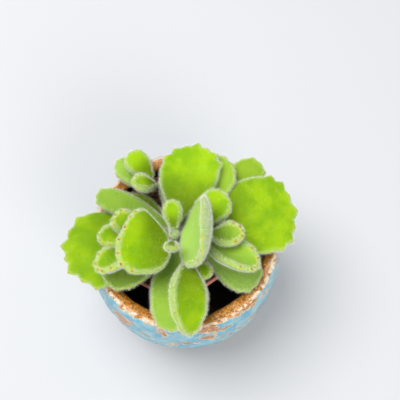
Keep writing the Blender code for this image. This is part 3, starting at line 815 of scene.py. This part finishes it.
# %% [markdown]
# ## The leaves
# Every leaf is the same idea with other numbers: a wedge that widens from a stalk to a blunt, toothed end,
# thick enough to be a cushion, cupped across and bent along. Modelling one and copying it would make a
# stamped plant, so each leaf is computed from its own row of sizes. A leaf is rings again: its outline,
# shrinking over the face to the midrib, and back out over the belly of its underside.

# %% The leaves' sizes
from dataclasses import dataclass

@dataclass
class Leaf:
    """Millimetres and degrees, as the plain model has them; the last five are looks alone."""

    name: str
    along: float  # on its stem's axis
    azimuth: float
    lift: float
    length: float
    width: float
    thick: float = 6.0
    cup: float = 20  # how far each margin turns up from the middle
    bend: float = 0  # how far the tip turns up from the base
    sweep: float = 0  # how far the tip turns to the left, seen from above
    roll: float = 0  # how far the left margin is raised
    skew: float = 0  # how far the left margin is ahead of the right, as a share of the distance across
    widest: float = 0.62
    neck: float = 4.4
    taper: float = 1.3
    blunt: float = 2.3
    teeth: int = 2  # on each side of the one at the tip
    tooth: float = 0.9
    toothed_to: float = 76
    brim: float = 0.5  # how far the underside swells out past the teeth
    age_and_shade: float = 0.4  # 0 is fresh yellow-green, 1 is old and dull, and leaves that others shade get high values too, as painted shade
    red: float = 0.4  # how red the teeth are
    ripple: float = 0.25
    pale: float = 0  # how much of the underside's felt the face has too

    @property
    def stem(self):
        """A shoot's leaf is named after it; the others grow from the main stem."""
        return self.name.split("_leaf")[0] if "_leaf" in self.name else "main_stem"


print("a leaf with nothing else said has", 2 * Leaf.teeth + 1, "teeth")

# %% Every leaf's row: along its stem, azimuth, lift, length, width, and what differs from the usual leaf
LEAVES = [
    Leaf("leaf_tip_back", 42, 90, 28, 16, 10.5, thick=5, cup=25, teeth=1, tooth=0.3, age_and_shade=0, red=0.1),
    Leaf("leaf_tip_front", 42, 262, 50, 9, 7.5, thick=4.5, cup=25, teeth=1, tooth=0.3, age_and_shade=1, red=0.1,
         brim=0.2),
    Leaf("leaf_top_right", 38, 342, 16, 33, 42, cup=15, bend=100, neck=6, teeth=3, widest=0.32, taper=0.55,
         sweep=14, brim=2.0, age_and_shade=0.1, red=1, pale=0.9),
    Leaf("leaf_top_left", 38, 203, 7, 30, 40, cup=15, bend=30, neck=6, teeth=3, sweep=-30, skew=0.2,
         widest=0.42, taper=0.6, brim=1.4, age_and_shade=0.1, red=1),
    Leaf("leaf_upper_back", 30, 71, 12, 52, 37, cup=12, bend=-10, teeth=3, blunt=2.0, tooth=1.9,
         skew=-0.12, age_and_shade=0, red=0.55),
    Leaf("leaf_upper_front", 22, 264, 7, 59, 26, cup=15, bend=-16, age_and_shade=0.3, red=0.4, pale=0.5),
    Leaf("leaf_large_right", 19, 2, 11, 72, 51, cup=12, bend=-10, widest=0.7, blunt=2.3, teeth=3, roll=3,
         tooth=2.1, age_and_shade=0.25, red=0.45, ripple=0.6),
    Leaf("leaf_large_left", 14.5, 194, 7.5, 67, 51, cup=7, roll=0.5, widest=0.68, blunt=1.75, teeth=3,
         tooth=2.4, thick=4.5, age_and_shade=0.35, red=0.5, ripple=0.5),
    Leaf("leaf_lower_back", 25, 51, 7, 52, 31, cup=15, teeth=3, age_and_shade=0.3, red=0.5, pale=0.3),
    Leaf("leaf_lower_left", 20, 219, 8.7, 50, 28, cup=12, bend=-4, thick=4.5, sweep=-6, age_and_shade=0.9, red=0.2,
         pale=0.6),
    Leaf("leaf_back_right", 9, 31, 17, 66, 22, cup=15, bend=-6, widest=0.75, age_and_shade=0.5, red=0.3, pale=0.2),
    Leaf("leaf_back_left", 9, 150, 20.6, 51, 16, cup=15, sweep=14, widest=0.7, bend=-4, thick=4.5,
         age_and_shade=0.35, red=0.1, pale=0.5),
    Leaf("leaf_low_right", 12, 319, 11, 59, 25, cup=20, bend=-10, widest=0.76, taper=4.5, age_and_shade=0.35,
         red=0.2, pale=0.9),
    Leaf("leaf_low_back_left", 5, 145, 8.5, 35.5, 20, cup=20, thick=4.5, age_and_shade=1, red=0),
    Leaf("right_shoot_leaf_back", 9, 48, 20, 25, 20, cup=25, sweep=-15, tooth=0.6, age_and_shade=0.1, red=0.2),
    Leaf("right_shoot_leaf_middle", 15, 338, 14, 21, 14, cup=45, sweep=30, bend=10, tooth=0.6, blunt=1.6,
         brim=1.0, age_and_shade=0.5, red=0.9, pale=0.3),
    Leaf("right_shoot_leaf_front", 9, 318, 10, 37, 20, cup=50, sweep=14, roll=-20, tooth=0.6, blunt=1.7,
         brim=1.5, age_and_shade=0.3, red=0.9, pale=0.4),
    Leaf("left_shoot_leaf_back", 19, 138, 27.5, 16.5, 13.5, cup=30, tooth=0.6, brim=0.8, age_and_shade=0.2, red=0.7),
    Leaf("left_shoot_leaf_middle", 14, 169, 12, 22, 14, cup=30, sweep=35, tooth=0.6, thick=5, blunt=1.6,
         brim=0.8, age_and_shade=0.25, red=0.4),
    Leaf("left_shoot_leaf_low", 6, 196, 2.2, 22.5, 9, cup=30, tooth=0.6, thick=3.5, age_and_shade=0.7, red=0.8),
    Leaf("left_shoot_leaf_front", 12, 212, 13, 26, 17, cup=50, roll=20, tooth=0.6, blunt=1.6, brim=1.2,
         age_and_shade=0.2, red=0.9),
    Leaf("back_shoot_leaf_left", 26, 134, 20, 21, 15, cup=20, tooth=0.4, age_and_shade=0, red=0.1),
    Leaf("back_shoot_leaf_low", 19, 141, 9, 31, 17, cup=20, tooth=0.6, blunt=2.0, age_and_shade=0.3, red=0.1,
         pale=0.6),
    Leaf("back_shoot_leaf_small", 26, 184, 34, 15, 11, cup=45, teeth=1, tooth=0.4, brim=0.8, age_and_shade=0.2,
         red=0.2),
    Leaf("back_shoot_leaf_right", 24, 330, 12, 11, 8, cup=30, teeth=1, tooth=0.4, age_and_shade=0.5, red=0),
    Leaf("front_shoot_leaf", 15, 268, 15, 45, 21, thick=8, cup=15, bend=-35, widest=0.5, blunt=1.7,
         tooth=0.6, roll=-22, age_and_shade=0.3, red=0.4, brim=1.6),
    Leaf("front_shoot_leaf_small", 7, 302, 9, 13, 9, cup=30, teeth=1, tooth=0.4, age_and_shade=0.4, red=0.2),
]
lengths = [leaf.length for leaf in LEAVES]
print("leaves:", len(LEAVES), "from", min(lengths), "to", max(lengths), "mm long")

# %% [markdown]
# ## A leaf's outline and section
# Seen flat, the outer half is a quarter of a superellipse, which is rounder or squarer by one number, and
# the inner half narrows along a cosine into the stalk. Teeth are points pushed out at even turns round the
# tip, each of its own height. Across, each side of the section is a superellipse too, so the margin is thick
# and round.

# %% One side of the outline
OUTLINE_GAP = 0.55  # millimetres


def teeth_of(leaf, turn):
    """How far each point of the outer half is pushed out: the tooth's height at its point, falling in a
    straight line to nothing halfway to the next. No two neighbours are quite as high."""
    phase = np.degrees(turn) * (2 * leaf.teeth + 1) / (2 * leaf.toothed_to)
    near = 1 - 2 * np.abs(phase - np.round(phase))
    wobble = 1 + 0.5 * np.sin(2.4 * np.round(phase) + leaf.azimuth)
    return leaf.tooth * wobble * np.clip(near, 0, 1) * (phase < leaf.teeth + 0.5)


def outer_half(leaf, turn):
    """Points on the superellipse, and the same pushed out by the teeth."""
    half, belly, power = leaf.width / 2, leaf.widest * leaf.length, 2 / leaf.blunt
    plain = np.stack([belly + (leaf.length - belly) * np.cos(turn).clip(0) ** power,
                      half * np.sin(turn).clip(0) ** power], axis=-1)
    push = teeth_of(leaf, turn)[..., None] * np.stack([np.cos(turn), np.sin(turn)], axis=-1)
    return plain, plain + push


def half_outline(leaf):
    """From the tip to the stalk's end, evenly spaced: (along without teeth, along, across)."""
    half, belly = leaf.width / 2, leaf.widest * leaf.length
    plain, toothed = outer_half(leaf, np.linspace(0, pi / 2, 700))
    share = np.linspace(0, 1, 300)[1:]
    narrowing = np.cos(pi / 2 * share).clip(0) ** leaf.taper
    inner = np.stack([belly * (1 - share), leaf.neck / 2 + (half - leaf.neck / 2) * narrowing], axis=-1)
    turn = np.linspace(0, pi / 2, 20)[1:]
    stalk_end = np.stack([-leaf.neck / 6 * np.sin(turn), leaf.neck / 2 * np.cos(turn)], axis=-1)
    line = np.concatenate([toothed, inner, stalk_end])
    unpushed = np.concatenate([plain, inner, stalk_end])[:, 0]
    run = np.concatenate([[0], np.cumsum(np.linalg.norm(np.diff(line, axis=0), axis=1))])
    even = np.linspace(0, run[-1], max(60, int(run[-1] / OUTLINE_GAP)))
    return [np.interp(even, run, values) for values in (unpushed, line[:, 0], line[:, 1])]


def thickness(leaf, along):
    """Thinner at the stalk, fullest past the middle, thinning again to the tip."""
    share = np.clip(along / leaf.length, 0, 1)
    full = 0.74 + 0.26 * np.sin(pi * np.clip(1.15 * share, 0, 1))
    return leaf.thick * full * (1 - 0.35 * np.clip((share - 0.75) / 0.25, 0, 1) ** 2)


print("points along half of the first leaf's outline:", len(half_outline(LEAVES[0])[0]))

# %% The flat leaf, cupped and bent
def bent(leaf, points):
    """Flat points (along, across, height) cupped across an arc, rolled about the midrib, then carried
    along the midrib's curve, whose direction turns steadily from base to tip. Millimetres, from the base."""
    along, across, height = np.moveaxis(points, -1, 0)
    along = along + leaf.skew * across * np.clip(along / leaf.length, 0, 1)
    radius = leaf.width / 2 / radians(leaf.cup)
    side = np.sin(across / radius) * (radius - height)
    raised = radius - np.cos(across / radius) * (radius - height)
    roll = radians(leaf.roll)
    side, raised = side * cos(roll) - raised * sin(roll), side * sin(roll) + raised * cos(roll)

    def headings(distance):
        share = distance / leaf.length
        return np.radians(leaf.azimuth + leaf.sweep * share), np.radians(leaf.lift + leaf.bend * share)

    stations = np.linspace(-leaf.neck, 1.1 * leaf.length, 400)
    azimuth, lift = headings((stations[1:] + stations[:-1]) / 2)
    ahead = np.column_stack([np.cos(lift) * np.cos(azimuth), np.cos(lift) * np.sin(azimuth), np.sin(lift)])
    path = np.vstack([np.zeros(3), np.cumsum(ahead, axis=0)]) * (stations[1] - stations[0])
    spine = np.stack([np.interp(along, stations, path[:, k]) - np.interp(0, stations, path[:, k])
                      for k in range(3)], axis=-1)
    azimuth, lift = headings(along)
    left = np.stack([-np.sin(azimuth), np.cos(azimuth), 0 * along], axis=-1)
    up = np.stack([-np.sin(lift) * np.cos(azimuth), -np.sin(lift) * np.sin(azimuth), np.cos(lift)], axis=-1)
    return spine + left * side[..., None] + up * raised[..., None]


def leaf_base(leaf):
    """Where the midrib starts: just clear of the stem's side."""
    stem, out = STEMS[leaf.stem], direction(leaf.azimuth, leaf.lift)
    reach = clear_reach(stem, leaf.along * MM, out, leaf.neck / 2 * MM) + leaf.neck / 6 * MM
    return stem.point(leaf.along * MM) + out * reach


print("the first leaf starts at, mm:", (leaf_base(LEAVES[0]) / MM).round(1))

# %% A whole leaf
FACE_ROUNDNESS, BACK_ROUNDNESS = 3.2, 2.4  # powers of the section's two superellipses
ABOVE = 0.34  # how much of the thickness lies above the margin
FACE_RINGS = 15  # and one fewer below


def round_trip(side, mirror=1):
    """A side's values all the way round: tip to base on the left, and back up the right."""
    return np.concatenate([side, mirror * side[-2:0:-1]])


def leaf_skin(leaf):
    """Rings at shares 0 to 1 of the way from midrib to margin over the face, then back to 0 below. A point
    is midrib + share (margin - midrib); its height is the section's superellipse times the thickness."""
    unpushed, along, across = half_outline(leaf)
    midrib = round_trip(0.1 * leaf.length + 0.72 * unpushed)
    edge = np.stack([round_trip(along), round_trip(across, -1)], axis=-1)
    spine = np.stack([midrib, 0 * midrib], axis=-1)
    share = np.sin(np.linspace(0, pi / 2, FACE_RINGS))
    share = np.concatenate([share, share[-2::-1]])[:, None]
    below = (np.arange(len(share)) >= FACE_RINGS)[:, None]
    level = np.where(below, -(1 - ABOVE) * (1 - share**BACK_ROUNDNESS) ** (1 / BACK_ROUNDNESS),
                     ABOVE * (1 - share**FACE_ROUNDNESS) ** (1 / FACE_ROUNDNESS))
    flat = spine + share[..., None] * (edge - spine)
    outward = unit(edge - spine + 1e-9)
    depth = np.clip(-level / (1 - ABOVE), 0, 1)
    shrink = np.clip(flat[..., 0] / (0.3 * leaf.length), 0, 1)
    swell = leaf.brim * np.sin(pi * depth**0.8) * (share > 0.5)
    flat = flat + outward * (swell * shrink)[..., None]
    height = level * thickness(leaf, flat[..., 0])
    rim_ridge = 0.25 * leaf.thick / 6 * np.exp(-(((share - 0.93) / 0.06) ** 2)) * ~below * shrink
    base = leaf_base(leaf) / MM
    world = base + bent(leaf, np.concatenate([flat, height[..., None]], axis=-1))
    ripple = leaf.ripple * field(world, 14.0, 2, seed=4) * share * shrink
    height = height + ripple + rim_ridge
    world = base + bent(leaf, np.concatenate([flat, height[..., None]], axis=-1))

    turns = np.radians(np.arange(leaf.teeth + 1) * 2 * leaf.toothed_to / (2 * leaf.teeth + 1))
    tips = outer_half(leaf, turns)[1]
    tips = np.concatenate([tips, tips * (1, -1)])
    tips = base + bent(leaf, np.column_stack([tips, np.zeros(len(tips))]))
    away = np.min(np.linalg.norm(world[:, :, None] - tips, axis=-1), axis=-1)
    to_margin = (1 - share) * np.linalg.norm(edge - spine, axis=-1)
    values = {"tooth_mm": np.minimum(away, 8), "margin_mm": np.minimum(to_margin, 12),
              "outward": np.clip(flat[..., 0] / leaf.length, 0, 1),
              "under": np.where(below, depth, 0) * np.ones_like(away)}
    for name in ("age_and_shade", "red", "pale"):
        values[name] = np.full_like(away, getattr(leaf, name))
    return skin(f"{leaf.name}_flesh", world * MM, values)

# %% [markdown]
# ## The leaf's skin
# Fresh leaves are a luminous yellow-green, old ones duller; the leaves that others shade get the dull colours
# too, and every leaf darkens towards its foot, both as painted shade. Felt greys the underside, the margin is
# a paler line, and each tooth ends in a red-brown spot with a yellow ring round it. The numbers kept at each
# point say where these are; noise keeps them from looking drawn.

# %% The leaf's colours
FRESH_DEEP, FRESH_BRIGHT = (0.2, 0.4, 0.001), (0.31, 0.52, 0.002)
# The old colours serve old leaves and also, as painted shade, the leaves that other leaves shade.
OLD_SHADED_DEEP, OLD_SHADED_BRIGHT, LEAF_FOOT_SHADE = (0.12, 0.21, 0.003), (0.19, 0.29, 0.006), (0.085, 0.15, 0.001)
BACK_FRESH, BACK_OLD_SHADED, MARGIN = (0.36, 0.6, 0.09), (0.15, 0.27, 0.02), (0.5, 0.66, 0.1)
FELT_FACE, FELT_BACK = (0.42, 0.56, 0.006), (0.7, 0.8, 0.34)
TOOTH_RING, TOOTH_SPOT = (0.62, 0.6, 0.02), (0.27, 0.045, 0.008)
leaf_finish, tree = new_finish(
    "felted_leaf", Sheen_Weight=0.06, Sheen_Roughness=0.4, Sheen_Tint=(0.8, 1.0, 0.2, 1),
    Subsurface_Weight=0.12, Subsurface_Radius=(1.0, 1.6, 0.2), Subsurface_Scale=0.002,
    Specular_IOR_Level=0.06)
print("leaf finish:", leaf_finish.name)

# %% Face, underside and margin
broad = mottled(tree, 11, 3, 0.36, 0.64)
small = mottled(tree, 1.3, 3, 0.3, 0.7)
age_and_shade, under, red = read(tree, "age_and_shade"), read(tree, "under"), read(tree, "red")
fresh = mix(tree, broad["Mask"], FRESH_DEEP, FRESH_BRIGHT)
# Old leaves and shaded leaves both take these dull colours: partly age, partly painted shade.
old_shaded = mix(tree, broad["Mask"], OLD_SHADED_DEEP, OLD_SHADED_BRIGHT)
# Painted shade: each leaf darkens towards its foot, where the leaves crowd round the stem and shade it.
foot_shade = times(tree, fall(tree, read(tree, "outward"), 0.15, 0.8), 0.85)
face = mix(tree, foot_shade, mix(tree, age_and_shade, fresh, old_shaded), LEAF_FOOT_SHADE)
bare = calc(tree, "SUBTRACT", 1.0, read(tree, "pale"))
felting = calc(tree, "SUBTRACT", 1.0, times(tree, bare, fall(tree, under, 0.03, 0.35)))
body = mix(tree, felting, face, mix(tree, age_and_shade, BACK_FRESH, BACK_OLD_SHADED))
to_margin = frayed(tree, read(tree, "margin_mm"), small["Height"], 0.5, middle=0.0)
rim = times(tree, fall(tree, to_margin, 0.5, 1.5), fall(tree, under, 0.5, 0.9))
body = mix(tree, times(tree, rim, 0.55), body, MARGIN)
print("leaf nodes so far:", len(tree.nodes))

# %% Felt, and the spots on the teeth
amount = calc(tree, "ADD", 0.25, times(tree, felting, 0.25))
felted = use(tree, felt_group, Skin=body, Hair=mix(tree, felting, FELT_FACE, FELT_BACK), Amount=amount,
             Size=0.7 * MM)
to_tooth = frayed(tree, read(tree, "tooth_mm"), small["Height"], 1.0, middle=0.0)
ring = times(tree, fall(tree, to_tooth, 1.0, 3.4), red)
coloured = mix(tree, times(tree, ring, 0.8), felted["Colour"], TOOTH_RING)
spot = times(tree, fall(tree, to_tooth, 0.95, 1.7), red)
coloured = mix(tree, spot, coloured, TOOTH_SPOT)
drive(tree, coloured, rise(tree, small["Height"], 0.3, 0.7, 0.45, 0.65), felted["Height"], 0.22 * MM)
leaf_objects = [dress(leaf_skin(leaf), [leaf.name], leaf_finish) for leaf in LEAVES]
print("leaves:", len(leaf_objects), "faces:", sum(len(o.data.polygons) for o in leaf_objects))

# %% [markdown]
# ## The felt
# The longer hairs are modelled one by one, because they are what makes the pale halo along every leaf's
# outline. Blender can also grow hair, but as plain meshes the hairs can be exported and measured like any
# other piece. Each is a spike with a closed foot, four faces in all. They are long and close along the margin
# and on the underside, short and sparse on the face, where they would hide the green.

# %% What the skin knows of itself
def numbers_of(mesh, name):
    """A value that the mesh keeps at each point, or ones where it keeps none."""
    if name not in mesh.attributes:
        return np.ones(len(mesh.vertices))
    values = np.empty(len(mesh.vertices), np.float32)
    mesh.attributes[name].data.foreach_get("value", values)
    return values


def vectors_of(mesh, name):
    """The points' places ("co") or directions outwards ("normal")."""
    values = np.empty(len(mesh.vertices) * 3, np.float32)
    mesh.vertices.foreach_get(name, values)
    return values.reshape(-1, 3)


def triangles_of(mesh):
    """The three points of each triangle, by their numbers."""
    mesh.calc_loop_triangles()
    corners = np.empty(len(mesh.loop_triangles) * 3, np.int32)
    mesh.loop_triangles.foreach_get("vertices", corners)
    return corners.reshape(-1, 3)


def shagginess_of(mesh):
    """1 within a millimetre of the margin and over the underside, 0 on the face, and 1 all over a stem."""
    by_margin = np.clip(2 - numbers_of(mesh, "margin_mm"), 0, 1)
    return np.maximum(by_margin, np.clip(8 * numbers_of(mesh, "under"), 0, 1))


print("shagginess of the first leaf:", shagginess_of(leaf_objects[0].data).mean().round(2))

# %% Hairs on a piece
HAIRS_PER_MM2, HAIR_LENGTH, HAIR_WIDTH, HAIR_ROOT = 6.5, 2.3 * MM, 0.1 * MM, 0.04 * MM
FACE_DENSITY, FACE_LENGTH, RUFFLE = 0.22, 0.2, 0.45
SPIKE_FACES = np.array([[0, 2, 1], [0, 1, 3], [1, 2, 3], [2, 0, 3]])


def spikes_from(root, along, side, reach):
    """Foot corners are root + width / 2 (cos, sin) in the plane across the hair, and the point is root +
    reach times the hair's direction."""
    other = np.cross(along, side)
    spikes = np.empty((len(root), 4, 3))
    for k in range(3):
        turn = 2 * pi * k / 3
        spikes[:, k] = root + HAIR_WIDTH / 2 * (cos(turn) * side + sin(turn) * other)
    spikes[:, 3] = root + along * reach
    return spikes


def hairs(obj, random):
    """Spikes at random spots. Each triangle is drawn by its area, weighted by its shagginess, so that spots
    fall evenly wherever that is the same; a spot is the corners' mean by weights that add up to one."""
    mesh = obj.data
    points, normals, corners = vectors_of(mesh, "co"), vectors_of(mesh, "normal"), triangles_of(mesh)
    shagginess = shagginess_of(mesh)
    a, b, c = (points[corners[:, k]] for k in range(3))
    area = np.linalg.norm(np.cross(b - a, c - a), axis=1) / 2
    share = area * (FACE_DENSITY + (1 - FACE_DENSITY) * shagginess[corners].mean(axis=1))
    count = int(share.sum() / MM**2 * HAIRS_PER_MM2)
    chosen = corners[random.choice(len(corners), count, p=share / share.sum())]
    u, v = np.sqrt(random.random(count))[:, None], random.random(count)[:, None]
    weights = np.stack([1 - u, u * (1 - v), u * v])

    def at_spots(values):
        return sum(w * values[chosen[:, k]] for k, w in enumerate(weights))

    normal = unit(at_spots(normals))
    along = unit(normal + RUFFLE * random.normal(size=(count, 3)))
    side = unit(np.cross(along, random.normal(size=(count, 3))))
    fullness = FACE_LENGTH + (1 - FACE_LENGTH) * at_spots(shagginess[:, None])
    reach = HAIR_LENGTH * random.uniform(0.4, 1, count)[:, None] * fullness
    root = at_spots(points) - HAIR_ROOT * normal
    return repeated("hairs", spikes_from(root, along, side, reach), SPIKE_FACES)


hair_finish, _ = new_finish(
    "white_hair", Base_Color=(0.95, 0.97, 0.82, 1), Roughness=0.6, Specular_IOR_Level=0.2)
random = np.random.default_rng(11)
hair_faces = 0
for obj in leaf_objects + stem_objects:
    name = obj.name.replace("_flesh", "_felt").replace("_skin", "_felt")
    hair = put(hairs(obj, random), name)
    hair_faces += len(hair.data.polygons)
    dress(hair, [], hair_finish)
print("hair faces:", hair_faces)
